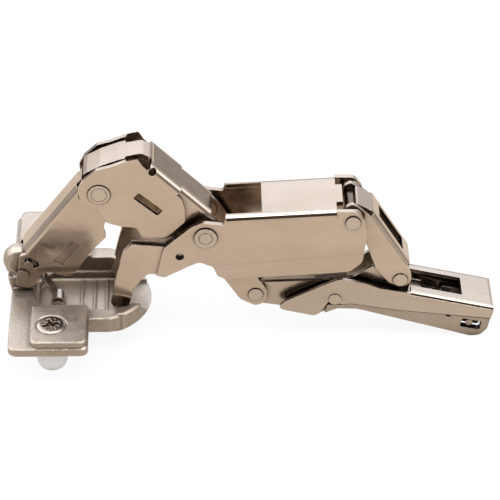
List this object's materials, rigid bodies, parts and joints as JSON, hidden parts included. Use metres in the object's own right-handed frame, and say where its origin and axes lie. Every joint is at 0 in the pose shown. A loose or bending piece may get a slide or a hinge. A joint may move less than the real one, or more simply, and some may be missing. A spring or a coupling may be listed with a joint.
{
  "type": "concealed cup hinge",
  "caption": "Concealed cabinet door hinge with a round cup, folded steel levers on rivets and a clip-on arm that opens very wide.",
  "frame": {"origin": "centre of the cup on the plane of the door face, the underside of the flange", "axes": "+X from the cup towards the cabinet arm, Y along every lever pivot, +Z out of the door along the cup axis"},
  "size_m": [0.1365, 0.0616, 0.0608],
  "materials": {
    "cast_nickel": "nickel plated die casting, slightly grainy",
    "sheet_nickel": "satin nickel plate on pressed sheet",
    "rivet_nickel": "satin nickel plate",
    "spring_steel": "bright spring steel",
    "white_plastic": "white plastic"
  },
  "bodies": {
    "cup_body": {"cup": "cast_nickel", "dowels": "white_plastic", "cup_screws": "rivet_nickel", "closing_spring": "spring_steel", "spring_pin": "rivet_nickel", "back_pin": "rivet_nickel", "foot_pins": "rivet_nickel"},
    "cup_link_body": {"cup_link": "sheet_nickel", "spring_hooks": "rivet_nickel"},
    "elbow_body": {"elbow_lever": "sheet_nickel", "elbow_rivet": "rivet_nickel", "elbow_washers": "rivet_nickel", "arm_front_rivet": "rivet_nickel"},
    "main_body": {"main_lever": "sheet_nickel", "middle_rivet": "rivet_nickel", "middle_washers": "rivet_nickel", "rear_rivet": "rivet_nickel", "rear_washers": "rivet_nickel"},
    "rear_body": {"rear_link": "sheet_nickel", "arm_rear_rivet": "rivet_nickel"},
    "arm_body": {"pivot_channel": "sheet_nickel", "arm_cover": "sheet_nickel", "clip_channel": "sheet_nickel", "catch_pin": "rivet_nickel", "release_pin": "rivet_nickel", "release_spring": "spring_steel"},
    "release_body": {"release_lever": "sheet_nickel"},
    "adjuster_body": {"side_adjuster": "rivet_nickel"}
  },
  "joints": [
    {"name": "foot_pivot", "type": "hinge", "parent": "cup_body", "child": "main_body", "pos_m": [0.0087, 0, -0.0002], "axis": [0, -1, 0], "range_deg": [-60, 102.5]},
    {"name": "back_pivot", "type": "hinge", "parent": "cup_body", "child": "cup_link_body", "pos_m": [-0.0179, 0, 0.0079], "axis": [0, -1, 0], "range_deg": [-56.4, 96.35]},
    {"name": "middle_pivot", "type": "hinge", "parent": "main_body", "child": "elbow_body", "pos_m": [0.03286, 0, 0.02329], "axis": [0, -1, 0], "range_deg": [-89.17, 52.2]},
    {"name": "rear_pivot", "type": "hinge", "parent": "main_body", "child": "rear_body", "pos_m": [0.073, 0, 0.02787], "axis": [0, -1, 0], "range_deg": [-89.17, 52.2]},
    {"name": "arm_pivot", "type": "hinge", "parent": "elbow_body", "child": "arm_body", "pos_m": [0.04664, 0, 0.00125], "axis": [0, -1, 0], "range_deg": [-52.2, 89.17]},
    {"name": "release_pivot", "type": "hinge", "parent": "arm_body", "child": "release_body", "pos_m": [0.10062, 0, -0.00524], "axis": [0, -1, 0], "range_deg": [0, 4], "stiffness_Nm_per_rad": 0.02, "springref_deg": -17.19, "deforming": ["release_spring"]},
    {"name": "adjuster_turn", "type": "hinge", "parent": "arm_body", "child": "adjuster_body", "pos_m": [0.09541, 0, -0.00635], "axis": [0.2334, 0, 0.9724], "continuous": true}
  ],
  "couplings": [
    {"joint": "back_pivot", "follows": "foot_pivot", "ratio": 0.94},
    {"joint": "middle_pivot", "follows": "foot_pivot", "ratio": -0.87},
    {"joint": "rear_pivot", "follows": "foot_pivot", "ratio": -0.87},
    {"joint": "arm_pivot", "follows": "foot_pivot", "ratio": 0.87}
  ]
}
